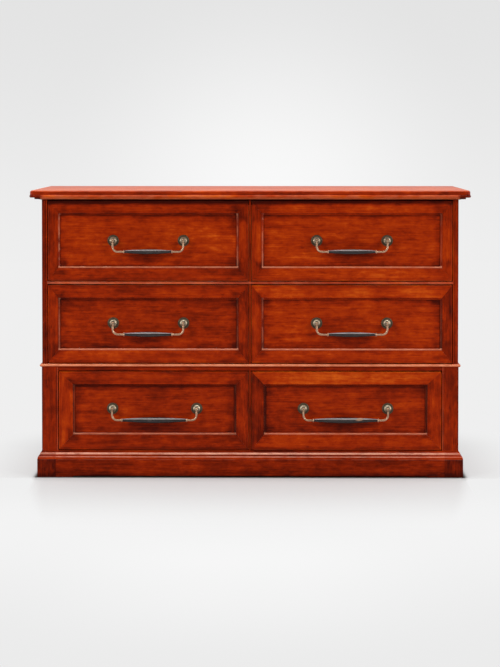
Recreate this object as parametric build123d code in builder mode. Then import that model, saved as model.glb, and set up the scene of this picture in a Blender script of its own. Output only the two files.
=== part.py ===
"""A low six-drawer chest of stained hardwood, with framed drawer fronts and swinging bail pulls.

Sizes are in millimetres. X runs to the right, Y towards the wall and Z up, so the drawers open
towards -Y. The origin is on the floor, under the middle of the top board.
"""

import os

from build123d import *

# Top board
top_width = 1000.0
top_depth = 440.0
top_thickness = 16.0
top_corner_radius = 14.0
top_bead_height = 6.0
top_bead_round = 2.6
top_bead_step = 1.4
top_edge_round = 4.2
top_overhang_front = 27.0
top_overhang_side = 26.5
top_overhang_back = 8.0

# Carcass boards
side_thickness = 20.0
board_thickness = 18.0
back_thickness = 8.0
back_board_count = 6
back_groove = 2.4
side_stile_width = 64.0
side_rail_height = 58.0
side_panel_thickness = 8.0
side_panel_recess = 6.0
side_panel_groove = 8.0
lower_case_step = 1.0
glue_line = 0.1

# Strips and stiles of the front, which stand in front of the carcass boards
corner_strip_width = 12.0
lower_stile_width = 37.0
centre_strip_width = 3.0
stile_edge_round = 1.3
stile_bead_width = 3.2
stile_groove = 0.9
frieze_height = 5.5
nosing_height = 6.5
nosing_proud = 0.8
nosing_round = 2.4
fascia_height = 9.0
fascia_recess = 3.0

# Bed moulding under the top board
bed_moulding_reach = 15.0
bed_lip_height = 3.6
bed_lip_width = 1.0
bed_hollow = 0.5

# Waist and plinth cap, which reach out from the case
waist_height = 7.0
waist_reach = 5.0
cap_height = 18.5
cap_edge_reach = 0.4
cap_fascia_reach = 1.6
cap_fascia_height = 3.7
cap_bead_reach = 4.0
cap_bead_height = 4.6
cap_bead_bulge = 1.3
cap_quirk_height = 1.0
cap_quirk_step = 0.4
cap_ovolo_bulge = 1.3
cap_foot_height = 1.6
cap_foot_step = 0.4

# Moulding round the sunk panels
panel_moulding_width = 5.0
panel_moulding_step = 0.6
panel_moulding_lip = 0.5
panel_moulding_toe = 0.3
panel_moulding_bulge = 0.9

# Plinth
plinth_height = 41.0
plinth_reach = 10.0
plinth_thickness = 22.0
plinth_block_width = 42.0
plinth_relief_height = 3.0
plinth_relief_margin = 38.0

# Drawer rows
row_gap = 2.0
column_gap = 1.8
front_lap = 3.5
bottom_row_height = 178.5
middle_row_height = 177.0
top_row_height = 182.0
upper_stile_flat = 22.8
upper_rail_flat = 28.3
lower_outer_flat = 32.0
lower_inner_flat = 28.0
lower_top_flat = 29.0
lower_bottom_flat = 34.0

# Drawer fronts and boxes
front_thickness = 19.0
front_edge_round = 1.3
panel_recess = 5.0
box_side_thickness = 12.0
box_front_thickness = 12.0
box_back_thickness = 12.0
box_back_drop = 7.0
box_side_clearance = 1.2
box_top_clearance = 8.0
running_gap = 0.3
bottom_thickness = 6.0
bottom_rise = 8.0
bottom_groove = 6.0
groove_clearance = 0.15

# Guides of the bottom drawers, and the stops behind every drawer
guide_height = 45.0
stop_height = 12.0
stop_width = 40.0
stop_length = 13.7

# Pulls
upper_pull_centres = 160.0
lower_pull_centres = 192.0
lower_pull_rise = 2.0
pull_projection = 20.0
pull_drop = 24.5
bend_radius = 11.5
wire_diameter = 4.6
eye_diameter = 8.2
eye_width = 4.2
pin_diameter = 2.4
turning_clearance = 0.1
fork_slot = 5.2
fork_depth = 6.5
head_diameter = 10.6
head_length = 9.0
head_shoulder = 1.2
neck_diameter = 6.8
shank_diameter = 5.0
shank_hole_diameter = 5.4
shank_end = 1.0
rosette_diameter = 26.0
rosette_rim = 1.6
rosette_bead = 2.4
rosette_bead_bulge = 1.0
rosette_dome_diameter = 17.0
rosette_dome_bulge = 1.1
rosette_flat = 1.0
rosette_height = 7.0
washer_diameter = 12.0
washer_thickness = 1.2
nut_diameter = 9.2
nut_thickness = 4.0
collar_diameter = 8.2
collar_width = 3.2
upper_grip_length = 106.0
upper_grip_diameter = 12.0
lower_grip_length = 144.0
lower_grip_diameter = 14.4
grip_end_diameter = 6.4
grip_belly = 0.4
grip_ring_width = 2.0
grip_ring_height = 0.4

# Nails of the back boards
nail_diameter = 2.0
nail_length = 22.0
nail_head_diameter = 5.0
nail_head_height = 0.8

# Planes of the front and back
top_front = -top_depth / 2
top_back = top_depth / 2
case_face = top_front + top_overhang_front
carcass_front = case_face + side_thickness
case_back = top_back - top_overhang_back
carcass_back = case_back - back_thickness
panel_face = case_face + panel_recess
front_back = case_face + front_thickness
box_end = carcass_back - stop_length - running_gap
plinth_face = case_face - plinth_reach

# Depths behind the panel's face, where the washers and nuts of the pulls sit
inner_front_face = front_thickness - panel_recess + box_front_thickness
nut_face = inner_front_face + washer_thickness + turning_clearance

# Half widths
upper_half = top_width / 2 - top_overhang_side
lower_half = upper_half + lower_case_step
upper_inner = upper_half - side_thickness
lower_inner = lower_half - side_thickness
plinth_half = lower_half + plinth_reach
block_inner = plinth_half - plinth_block_width
upper_opening = upper_half - corner_strip_width
lower_opening = lower_half - lower_stile_width
front_inner = centre_strip_width / 2 + column_gap
box_inner = board_thickness / 2 + box_side_clearance

# Heights, from the floor up
cap_top = plinth_height + cap_height
bottom_row_base = cap_top + row_gap
fascia_base = bottom_row_base + bottom_row_height + row_gap
waist_base = fascia_base + fascia_height
waist_top = waist_base + waist_height
middle_row_base = waist_top + row_gap
nosing_base = middle_row_base + middle_row_height + row_gap
nosing_top = nosing_base + nosing_height
top_row_base = nosing_top + row_gap
frieze_base = top_row_base + top_row_height + row_gap
case_top = frieze_base + frieze_height

# Top faces of the carcass boards that the drawers run on. Each front laps over its board's edge.
bottom_board_top = bottom_row_base + front_lap
waist_board_top = middle_row_base + front_lap
middle_board_top = top_row_base + front_lap
sub_top_base = case_top - board_thickness

left_hand = Vector(-1, 0, 0)
right_hand = Vector(1, 0, 0)
forwards = Vector(0, -1, 0)
backwards = Vector(0, 1, 0)
upwards = Vector(0, 0, 1)

os.makedirs("parts", exist_ok=True)


def save(piece, name):
    """Label a finished piece and write it out."""
    piece.part.label = name
    export_step(piece.part, f"parts/{name}.step")


def side_span(side, inner, outer):
    """The low and high X of a piece between two distances from the middle, on one side of it."""
    return tuple(sorted((side * inner, side * outer)))


def board(x, y, z, mode=Mode.ADD):
    """Add a squared board to the part being built, from its low and high faces on each axis."""
    size = [high - low for low, high in (x, y, z)]
    middle = [(low + high) / 2 for low, high in (x, y, z)]
    with Locations(tuple(middle)):
        Box(*size, mode=mode)


def moulding_run(section, reach, centre, out, up, length, start=0, end=0):
    """A length of moulding whose inner lower edge is centred on centre.

    Its section goes out and up. An end is square at 0, mitred round an outside corner at 1 and
    mitred into an inside corner at -1, and it leaves half a glue line for the joint.
    """
    along = out.cross(up)
    spare = reach + glue_line
    with BuildPart() as run:
        with BuildSketch(Plane(centre - along * (length / 2 + spare), x_dir=out, z_dir=along)):
            with BuildLine():
                section()
            make_face()
        extrude(amount=length + 2 * spare)
        for turn, way in ((start, -1), (end, 1)):
            corner = centre + along * (way * (length - glue_line) / 2)
            split(bisect_by=Plane(corner, z_dir=along * way - out * turn), keep=Keep.BOTTOM)
    return run.part


def bed_section():
    """A lip over a shallow hollow, as high as the frieze behind it."""
    lip_base = frieze_height - bed_lip_height
    lip_back = bed_moulding_reach - bed_lip_width
    SagittaArc((0, 0), (lip_back, lip_base), bed_hollow)
    Polyline(
        (lip_back, lip_base), (bed_moulding_reach, lip_base),
        (bed_moulding_reach, frieze_height), (0, frieze_height), (0, 0),
    )


def waist_section():
    """A flat strip with a half-round nose."""
    nose = waist_height / 2
    tip = side_thickness + waist_reach
    Polyline((tip - nose, waist_height), (0, waist_height), (0, 0), (tip - nose, 0))
    ThreePointArc((tip - nose, 0), (tip, nose), (tip - nose, waist_height))


def cap_section():
    """A narrow fascia, a bead and an ovolo, one under the other, down to the plinth's face."""
    full = side_thickness + plinth_reach
    bead_top = (side_thickness + cap_fascia_reach, cap_height - cap_fascia_height)
    bead_base = (side_thickness + cap_bead_reach, bead_top[1] - cap_bead_height)
    ovolo_top = (bead_base[0] + cap_quirk_step, bead_base[1] - cap_quirk_height)
    foot_top = (full - cap_foot_step, cap_foot_height)
    Polyline(
        bead_top, (side_thickness + cap_edge_reach, cap_height), (0, cap_height), (0, 0), (full, 0),
        foot_top,
    )
    SagittaArc(foot_top, ovolo_top, -cap_ovolo_bulge)
    Line(ovolo_top, bead_base)
    SagittaArc(bead_base, bead_top, -cap_bead_bulge)


def panel_section():
    """A quarter round that falls from just under the frame's face to the sunk panel."""
    high = panel_recess - panel_moulding_step
    lip = (panel_moulding_lip, high)
    toe = (panel_moulding_width - panel_moulding_toe, panel_moulding_lip)
    Polyline(toe, (panel_moulding_width, 0), (0, 0), (0, high), lip)
    SagittaArc(lip, toe, panel_moulding_bulge)


def panel_mouldings(centre, out, across, width, height):
    """The four mitred runs round a sunk panel. Centre lies on the panel, and out points off it."""
    runs = []
    for inward, length, distance in (
        (across, height, width / 2), (-across, height, width / 2),
        (upwards, width, height / 2), (-upwards, width, height / 2),
    ):
        foot = centre - inward * (distance - glue_line)
        run_length = length - 2 * glue_line
        runs.append(
            moulding_run(panel_section, panel_moulding_width, foot, inward, out, run_length, -1, -1)
        )
    return runs


def side_runs(section, reach, inner, base):
    """The runs of a moulding along both sides of the case, mitred at their front ends."""
    length = case_back - carcass_front
    middle = (case_back + carcass_front) / 2
    left = moulding_run(section, reach, Vector(-inner, middle, base), left_hand, upwards, length, 1, 0)
    right = moulding_run(section, reach, Vector(inner, middle, base), right_hand, upwards, length, 0, 1)
    return [left, right]


# The top board is a slab with a rounded upper edge and a bead round its lower edge.
with BuildPart() as top_board:
    with BuildSketch(Plane.XY.offset(case_top)) as bead_outline:
        Rectangle(top_width, top_depth)
        fillet(bead_outline.vertices().group_by(Axis.Y)[0], top_corner_radius)
    extrude(amount=top_bead_height)
    level_edges = top_board.edges().group_by(Axis.Z)[0] + top_board.edges().group_by(Axis.Z)[-1]
    fillet(level_edges.filter_by_position(Axis.Y, top_front - 1, top_back - 1), top_bead_round)
    with BuildSketch(Plane.XY.offset(case_top)) as slab_outline:
        with Locations((0, top_bead_step / 2)):
            Rectangle(top_width - 2 * top_bead_step, top_depth - top_bead_step)
        fillet(slab_outline.vertices().group_by(Axis.Y)[0], top_corner_radius - top_bead_step)
    extrude(amount=top_thickness)
    upper_edges = top_board.edges().group_by(Axis.Z)[-1]
    fillet(upper_edges.filter_by_position(Axis.Y, top_front - 1, top_back - 1), top_edge_round)
save(top_board, "top_board")

# The bed moulding runs under the top board, against the case.
bed_front = moulding_run(
    bed_section, bed_moulding_reach, Vector(0, case_face, frieze_base), forwards, upwards,
    2 * upper_half, 1, 1,
)
bed_side_length = case_back - case_face
bed_side_middle = (case_back + case_face) / 2
bed_left = moulding_run(
    bed_section, bed_moulding_reach, Vector(-upper_half, bed_side_middle, frieze_base), left_hand,
    upwards, bed_side_length, 1, 0,
)
bed_right = moulding_run(
    bed_section, bed_moulding_reach, Vector(upper_half, bed_side_middle, frieze_base), right_hand,
    upwards, bed_side_length, 0, 1,
)
with BuildPart() as top_bed_moulding:
    add([bed_front, bed_left, bed_right])
save(top_bed_moulding, "top_bed_moulding")

# Waist and plinth cap are moulded frames that the tiers of the case stand on.
waist_front = moulding_run(
    waist_section, side_thickness + waist_reach, Vector(0, carcass_front, waist_base), forwards,
    upwards, 2 * upper_inner, 1, 1,
)
with BuildPart() as waist_moulding:
    add([waist_front, *side_runs(waist_section, side_thickness + waist_reach, upper_inner, waist_base)])
save(waist_moulding, "waist_moulding")

cap_reach = side_thickness + plinth_reach
cap_pieces = side_runs(cap_section, cap_reach, lower_inner, plinth_height)
for middle, length, start, end in (
    (0, 2 * block_inner, 0, 0),
    ((lower_inner + block_inner) / 2, lower_inner - block_inner, 1, 0),
    (-(lower_inner + block_inner) / 2, lower_inner - block_inner, 0, 1),
):
    cap_pieces.append(
        moulding_run(
            cap_section, cap_reach, Vector(middle, carcass_front, plinth_height), forwards, upwards,
            length, start, end,
        )
    )
with BuildPart() as plinth_cap_moulding:
    add(cap_pieces)
save(plinth_cap_moulding, "plinth_cap_moulding")

# The plinth: boards between four square blocks, with a shallow relief under the front board.
with BuildPart() as plinth_boards:
    board((-block_inner, block_inner), (plinth_face, plinth_face + plinth_thickness), (0, plinth_height))
    relief_half = block_inner - plinth_relief_margin
    with BuildSketch(Plane.XZ.offset(-plinth_face - plinth_thickness)):
        with BuildLine():
            Polyline(
                (-relief_half, 0), (relief_half, 0),
                (relief_half - plinth_relief_height, plinth_relief_height),
                (plinth_relief_height - relief_half, plinth_relief_height),
                close=True,
            )
        make_face()
    extrude(amount=plinth_thickness, mode=Mode.SUBTRACT)
    board((-block_inner, block_inner), (case_back - plinth_thickness, case_back), (0, plinth_height))
    for side in (-1, 1):
        board(
            side_span(side, plinth_half - plinth_thickness, plinth_half),
            (plinth_face + plinth_block_width, case_back - plinth_block_width),
            (0, plinth_height),
        )
save(plinth_boards, "plinth_boards")

with BuildPart() as plinth_corner_blocks:
    for side in (-1, 1):
        for front_edge in (plinth_face, case_back - plinth_block_width):
            board(
                side_span(side, block_inner, plinth_half),
                (front_edge, front_edge + plinth_block_width),
                (0, plinth_height),
            )
save(plinth_corner_blocks, "plinth_corner_blocks")

# Carcass boards
with BuildPart() as bottom_board:
    board(
        (-lower_inner, lower_inner), (carcass_front, carcass_back),
        (bottom_board_top - board_thickness, bottom_board_top),
    )
save(bottom_board, "bottom_board")

with BuildPart() as dustboards:
    board(
        (-upper_inner, upper_inner), (carcass_front, carcass_back),
        (waist_board_top - board_thickness, waist_board_top),
    )
    for side in (-1, 1):
        board(
            side_span(side, board_thickness / 2, upper_inner), (carcass_front, carcass_back),
            (middle_board_top - board_thickness, middle_board_top),
        )
save(dustboards, "dustboards")

with BuildPart() as sub_top_board:
    board((-upper_inner, upper_inner), (carcass_front, carcass_back), (sub_top_base, case_top))
save(sub_top_board, "sub_top_board")

with BuildPart() as centre_partition:
    for base, top in (
        (bottom_board_top, waist_board_top - board_thickness), (waist_board_top, sub_top_base),
    ):
        board((-board_thickness / 2, board_thickness / 2), (carcass_front, carcass_back), (base, top))
save(centre_partition, "centre_partition")

# The back: upright boards with a V groove at each joint, nailed to the carcass boards.
back_board_width = 2 * upper_inner / back_board_count
back_board_middles = [
    (index + 0.5) * back_board_width - upper_inner for index in range(back_board_count)
]
with BuildPart() as back_boards:
    for middle in back_board_middles:
        half = (back_board_width - glue_line) / 2
        board((middle - half, middle + half), (carcass_back, case_back), (plinth_height, case_top))
    for index in range(1, back_board_count):
        joint = Location(
            (index * back_board_width - upper_inner, case_back, (plinth_height + case_top) / 2),
            (0, 0, 45),
        )
        with Locations(joint):
            Box(back_groove, back_groove, case_top - plinth_height, mode=Mode.SUBTRACT)
save(back_boards, "back_boards")

nail_heights = [
    top - board_thickness / 2 for top in (bottom_board_top, waist_board_top, middle_board_top, case_top)
]
nail_places = [(middle, height) for middle in back_board_middles for height in nail_heights]
with BuildPart() as back_nails:
    with BuildSketch(Plane.XZ.offset(-case_back)):
        with Locations(*nail_places):
            Circle(nail_head_diameter / 2)
    extrude(amount=-nail_head_height)
    with BuildSketch(Plane.XZ.offset(-case_back)):
        with Locations(*nail_places):
            Circle(nail_diameter / 2)
    extrude(amount=nail_length)
save(back_nails, "back_nails")

# Sides: an upper and a lower tier of stiles and rails, each round a sunk panel.
side_tiers = (
    (upper_inner, upper_half, waist_top, case_top),
    (lower_inner, lower_half, cap_top, waist_base),
)
side_window = (carcass_front + side_stile_width, case_back - side_stile_width)


def build_side_frame(side, out):
    """The stiles, rails and panel mouldings of one side of the case."""
    runs = []
    for inner, outer, base, top in side_tiers:
        middle = Vector(side * (outer - side_panel_recess), sum(side_window) / 2, (base + top) / 2)
        runs += panel_mouldings(
            middle, out, backwards, side_window[1] - side_window[0], top - base - 2 * side_rail_height
        )
    with BuildPart() as frame:
        for inner, outer, base, top in side_tiers:
            across = side_span(side, inner, outer)
            panel_back = outer - side_panel_recess - side_panel_thickness
            board(across, (carcass_front, side_window[0] - glue_line), (base, top))
            board(across, (side_window[1] + glue_line, case_back), (base, top))
            board(across, side_window, (base, base + side_rail_height))
            board(across, side_window, (top - side_rail_height, top))
            sunk = side_panel_groove + groove_clearance
            board(
                side_span(side, panel_back - groove_clearance, outer - side_panel_recess + groove_clearance),
                (side_window[0] - sunk, side_window[1] + sunk),
                (base + side_rail_height - sunk, top - side_rail_height + sunk),
                Mode.SUBTRACT,
            )
        add(runs)
    return frame


save(build_side_frame(-1, left_hand), "left_side_frame")
save(build_side_frame(1, right_hand), "right_side_frame")

with BuildPart() as side_panels:
    for side in (-1, 1):
        for inner, outer, base, top in side_tiers:
            panel_out = outer - side_panel_recess
            board(
                side_span(side, panel_out - side_panel_thickness, panel_out),
                (side_window[0] - side_panel_groove, side_window[1] + side_panel_groove),
                (base + side_rail_height - side_panel_groove, top - side_rail_height + side_panel_groove),
            )
save(side_panels, "side_panels")


def front_stile(side, inner, outer, base, top):
    """An upright of the front with soft edges and a bead along its inner edge."""
    with BuildPart() as stile:
        board(side_span(side, inner, outer), (case_face, carcass_front), (base, top))
        fillet(stile.edges().filter_by(Axis.Z).group_by(Axis.Y)[0], stile_edge_round)
        board(
            side_span(side, inner + stile_bead_width, inner + stile_bead_width + stile_groove),
            (case_face - stile_groove, case_face + stile_groove), (base, top), Mode.SUBTRACT,
        )
    return stile.part


stiles = []
for side in (-1, 1):
    stiles.append(front_stile(side, upper_opening, upper_half, waist_top, case_top))
    stiles.append(front_stile(side, lower_opening, lower_half, cap_top, waist_base))
with BuildPart() as front_stiles:
    add(stiles)
save(front_stiles, "front_stiles")

# Strips between the drawers: frieze, nosing, fascia and the narrow uprights of the middle.
with BuildPart() as nosing:
    board(
        (-upper_opening, upper_opening), (case_face - nosing_proud, carcass_front),
        (nosing_base, nosing_top),
    )
    fillet(nosing.edges().filter_by(Axis.X).group_by(Axis.Y)[0], nosing_round)
with BuildPart() as face_strips:
    add(nosing.part)
    board((-upper_opening, upper_opening), (case_face, carcass_front), (frieze_base, case_top))
    board(
        (-lower_opening, lower_opening), (case_face + fascia_recess, carcass_front),
        (fascia_base, waist_base),
    )
    for base, top in ((cap_top, fascia_base), (waist_top, nosing_base), (nosing_top, frieze_base)):
        board(
            (-centre_strip_width / 2, centre_strip_width / 2), (case_face, carcass_front),
            (base + glue_line, top - glue_line),
        )
save(face_strips, "face_strips")

# Guides beside the bottom drawers and a stop behind each drawer
upper_bay_middle = (board_thickness / 2 + upper_inner) / 2
with BuildPart() as drawer_guides:
    for side in (-1, 1):
        board(
            side_span(side, lower_opening, lower_inner), (carcass_front, carcass_back),
            (bottom_board_top, bottom_board_top + guide_height),
        )
        for floor in (bottom_board_top, waist_board_top, middle_board_top):
            board(
                side_span(side, upper_bay_middle - stop_width / 2, upper_bay_middle + stop_width / 2),
                (box_end + running_gap, carcass_back), (floor, floor + stop_height),
            )
save(drawer_guides, "drawer_guides")


def build_front_frame(left, right, base, top, flats):
    """Four mitred members and the moulding inside them. Flats are left, right, bottom and top."""
    left_flat, right_flat, bottom_flat, top_flat = flats
    outer = [(left, base), (right, base), (right, top), (left, top)]
    inner = [
        (left + left_flat, base + bottom_flat), (right - right_flat, base + bottom_flat),
        (right - right_flat, top - top_flat), (left + left_flat, top - top_flat),
    ]
    middle = Vector((inner[0][0] + inner[2][0]) / 2, panel_face, (inner[0][1] + inner[2][1]) / 2)
    runs = panel_mouldings(
        middle, forwards, right_hand, inner[2][0] - inner[0][0], inner[2][1] - inner[0][1]
    )
    with BuildPart() as frame:
        with BuildSketch(Plane.XZ.offset(-front_back)):
            for corner in range(len(outer)):
                following = (corner + 1) % len(outer)
                member = Polygon(
                    outer[corner], outer[following], inner[following], inner[corner], mode=Mode.PRIVATE
                )
                offset(member, amount=-glue_line / 2, kind=Kind.INTERSECTION, mode=Mode.ADD)
        extrude(amount=front_thickness)
        faces = frame.faces().filter_by(Axis.Y).group_by(Axis.Y)[0]
        outer_edges = [face.edges().sort_by(SortBy.LENGTH)[-1] for face in faces]
        fillet(outer_edges, front_edge_round)
        add(runs)
    return frame


def bore_for_shanks(pull_x, pull_z, centres, start, depth):
    """Cut the two holes for the shanks of a pull, forwards from the plane at start."""
    with BuildSketch(Plane.XZ.offset(-start)) as holes:
        with Locations((pull_x - centres / 2, pull_z), (pull_x + centres / 2, pull_z)):
            Circle(shank_hole_diameter / 2)
    extrude(holes.sketch, amount=depth, mode=Mode.SUBTRACT)


def build_front_panel(left, right, base, top, pull_x, pull_z, centres):
    with BuildPart() as panel:
        board((left, right), (panel_face, front_back), (base, top))
        bore_for_shanks(pull_x, pull_z, centres, front_back, front_thickness - panel_recess)
    return panel


def build_box(left, right, base, top, pull_x, pull_z, centres):
    """Sides, inner front and back of a drawer box, grooved for its bottom."""
    between = (left + box_side_thickness + glue_line, right - box_side_thickness - glue_line)
    inner_face = front_back + box_front_thickness
    groove = bottom_groove + groove_clearance
    groove_base = base + bottom_rise - groove_clearance
    groove_top = base + bottom_rise + bottom_thickness + groove_clearance
    with BuildPart() as box:
        board((left, left + box_side_thickness), (front_back, box_end), (base, top))
        board((right - box_side_thickness, right), (front_back, box_end), (base, top))
        board(between, (front_back, inner_face), (base, top))
        board(between, (box_end - box_back_thickness, box_end), (groove_top, top - box_back_drop))
        board(
            (left + box_side_thickness - groove, right - box_side_thickness + groove),
            (inner_face - groove, box_end), (groove_base, groove_top), Mode.SUBTRACT,
        )
        bore_for_shanks(pull_x, pull_z, centres, inner_face, box_front_thickness)
    return box


def build_box_bottom(left, right, base):
    with BuildPart() as bottom:
        board(
            (left + box_side_thickness - bottom_groove, right - box_side_thickness + bottom_groove),
            (front_back + box_front_thickness - bottom_groove, box_end),
            (base + bottom_rise, base + bottom_rise + bottom_thickness),
        )
    return bottom


def turned_post(foot):
    """A threaded-through post with a round forked head and the cross pin that its eye turns on."""
    shank = shank_diameter / 2
    neck = neck_diameter / 2
    head = head_diameter / 2
    shoulder = rosette_height + turning_clearance
    head_base = pull_projection - head_length
    shank_length = nut_face + nut_thickness + shank_end
    pivot = foot + forwards * pull_projection
    with BuildPart() as post:
        with BuildSketch(Plane(foot, x_dir=right_hand, z_dir=-upwards)):
            with BuildLine():
                Polyline(
                    (0, pull_projection + head), (0, -shank_length), (shank, -shank_length),
                    (shank, shoulder), (neck, shoulder), (neck, head_base),
                    (head, head_base + head_shoulder), (head, pull_projection),
                )
                RadiusArc((head, pull_projection), (0, pull_projection + head), -head)
            make_face()
        revolve(axis=Axis(foot, forwards))
        board(
            (foot.X - fork_slot / 2, foot.X + fork_slot / 2), (pivot.Y - head, pivot.Y + fork_depth),
            (foot.Z - head, foot.Z + head), Mode.SUBTRACT,
        )
        with Locations(Location(pivot, (0, 90, 0))):
            Cylinder(pin_diameter / 2, (fork_slot + head_diameter) / 2)
    return post.part


def rosette(foot):
    """A round plate under the post: a bead round its rim and a dome up to the post's shoulder."""
    hole = shank_diameter / 2 + turning_clearance
    rim = rosette_diameter / 2
    dome = rosette_dome_diameter / 2
    dome_top = neck_diameter / 2 + rosette_flat
    with BuildPart() as plate:
        with BuildSketch(Plane(foot, x_dir=right_hand, z_dir=-upwards)):
            with BuildLine():
                Polyline(
                    (dome_top, rosette_height), (hole, rosette_height), (hole, 0), (rim, 0),
                    (rim, rosette_rim),
                )
                SagittaArc((rim, rosette_rim), (rim - rosette_bead, rosette_rim), -rosette_bead_bulge)
                Line((rim - rosette_bead, rosette_rim), (dome, rosette_rim))
                SagittaArc((dome, rosette_rim), (dome_top, rosette_height), -rosette_dome_bulge)
            make_face()
        revolve(axis=Axis(foot, forwards))
    return plate.part


def washer(foot):
    with BuildPart() as ring:
        with BuildSketch(Plane(foot + backwards * inner_front_face, x_dir=right_hand, z_dir=backwards)):
            Circle(washer_diameter / 2)
            Circle(shank_hole_diameter / 2, mode=Mode.SUBTRACT)
        extrude(amount=washer_thickness)
    return ring.part


def nut(foot):
    with BuildPart() as hexagon:
        with BuildSketch(Plane(foot + backwards * nut_face, x_dir=right_hand, z_dir=backwards)):
            RegularPolygon(nut_diameter / 2, 6)
            Circle(shank_diameter / 2 + turning_clearance, mode=Mode.SUBTRACT)
        extrude(amount=nut_thickness)
    return hexagon.part


def build_pull_posts(pull_x, pull_z, centres):
    """Two posts, each with its rosette in front of the panel and its washer and nut behind."""
    pieces = []
    for way in (-1, 1):
        foot = Vector(pull_x + way * centres / 2, panel_face, pull_z)
        pieces += [turned_post(foot), rosette(foot), washer(foot), nut(foot)]
    with BuildPart() as posts:
        add(pieces)
    return posts


def build_bail(pull_x, pull_z, centres, grip_length):
    """The bent wire with an eye at each end, and a collar at each end of its grip."""
    pivot_y = panel_face - pull_projection
    half = centres / 2
    wire_top = -eye_diameter / 4
    collar_place = (grip_length + collar_width) / 2 + turning_clearance
    with BuildPart() as bail:
        with BuildLine(Plane((pull_x, pivot_y, pull_z), x_dir=right_hand, z_dir=forwards)) as wire:
            FilletPolyline(
                (-half, wire_top), (-half, -pull_drop), (half, -pull_drop), (half, wire_top),
                radius=bend_radius,
            )
        with BuildSketch(Plane(wire.line @ 0, z_dir=wire.line % 0)):
            Circle(wire_diameter / 2)
        sweep(path=wire.line)
        for way in (-1, 1):
            with Locations(Location((pull_x + way * half, pivot_y, pull_z), (0, 90, 0))):
                Cylinder(eye_diameter / 2, eye_width)
                Cylinder(pin_diameter / 2 + turning_clearance, wire_diameter, mode=Mode.SUBTRACT)
            collar = Location((pull_x + way * collar_place, pivot_y, pull_z - pull_drop), (0, 90, 0))
            with Locations(collar):
                Torus((collar_diameter - collar_width) / 2, collar_width / 2)
    return bail


def build_grip(pull_x, pull_z, length, diameter, ringed):
    """A turned spindle on the wire: straight tapers that meet a round belly in the middle."""
    half = length / 2
    belly = half * grip_belly
    full = diameter / 2
    tip = grip_end_diameter / 2
    hole = wire_diameter / 2 + turning_clearance
    shoulder = (2 * full * (half - belly) + tip * belly) / (2 * half - belly)
    centre = Vector(pull_x, panel_face - pull_projection, pull_z - pull_drop)
    with BuildPart() as grip:
        with BuildSketch(Plane(centre, x_dir=right_hand, z_dir=forwards)):
            with BuildLine():
                Polyline(
                    (belly, shoulder), (half, tip), (half, hole), (-half, hole), (-half, tip),
                    (-belly, shoulder),
                )
                ThreePointArc((-belly, shoulder), (0, full), (belly, shoulder))
            make_face()
        revolve(axis=Axis(centre, right_hand))
        if ringed:
            with Locations(Location(centre, (0, 90, 0))):
                Torus(full + grip_ring_height - grip_ring_width / 2, grip_ring_width / 2)
    return grip


upper_outer_edge = upper_opening - column_gap
lower_outer_edge = lower_opening - column_gap
upper_flats = (upper_stile_flat, upper_stile_flat, upper_rail_flat, upper_rail_flat)
lower_flats = (lower_outer_flat, lower_inner_flat, lower_bottom_flat, lower_top_flat)
rows = (
    ("top", top_row_base, top_row_height, middle_board_top, sub_top_base, upper_outer_edge,
     upper_inner - box_side_clearance, upper_flats, 0.0,
     upper_pull_centres, upper_grip_length, upper_grip_diameter),
    ("middle", middle_row_base, middle_row_height, waist_board_top, middle_board_top - board_thickness,
     upper_outer_edge, upper_inner - box_side_clearance, upper_flats, lower_pull_rise,
     upper_pull_centres, upper_grip_length, upper_grip_diameter),
    ("bottom", bottom_row_base, bottom_row_height, bottom_board_top, waist_board_top - board_thickness,
     lower_outer_edge, lower_outer_edge, lower_flats, lower_pull_rise,
     lower_pull_centres, lower_grip_length, lower_grip_diameter),
)

for (row, front_base, front_height, floor, ceiling, outer_edge, box_outer, row_flats, rise,
     centres, grip_length, grip_diameter) in rows:
    front_top = front_base + front_height
    box_base = floor + running_gap
    box_top = ceiling - box_top_clearance
    outer_flat, inner_flat, bottom_flat, top_flat = row_flats
    for hand, side in (("left", -1), ("right", 1)):
        name = f"{row}_{hand}"
        left, right = side_span(side, front_inner, outer_edge)
        box_left, box_right = side_span(side, box_inner, box_outer)
        left_flat, right_flat = (outer_flat, inner_flat) if side < 0 else (inner_flat, outer_flat)
        window_left = left + left_flat
        window_right = right - right_flat
        window_base = front_base + bottom_flat
        window_top = front_top - top_flat
        pull_x = (window_left + window_right) / 2
        pull_z = (window_base + window_top) / 2 + rise
        save(
            build_front_frame(
                left, right, front_base, front_top, (left_flat, right_flat, bottom_flat, top_flat)
            ),
            f"{name}_front_frame",
        )
        save(
            build_front_panel(
                window_left, window_right, window_base, window_top, pull_x, pull_z, centres
            ),
            f"{name}_front_panel",
        )
        save(
            build_box(box_left, box_right, box_base, box_top, pull_x, pull_z, centres),
            f"{name}_drawer_box",
        )
        save(build_box_bottom(box_left, box_right, box_base), f"{name}_drawer_bottom")
        save(build_pull_posts(pull_x, pull_z, centres), f"{name}_pull_posts")
        save(build_bail(pull_x, pull_z, centres, grip_length), f"{name}_pull_bail")
        save(
            build_grip(pull_x, pull_z, grip_length, grip_diameter, row == "bottom"),
            f"{name}_pull_grip",
        )
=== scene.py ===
import math

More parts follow.
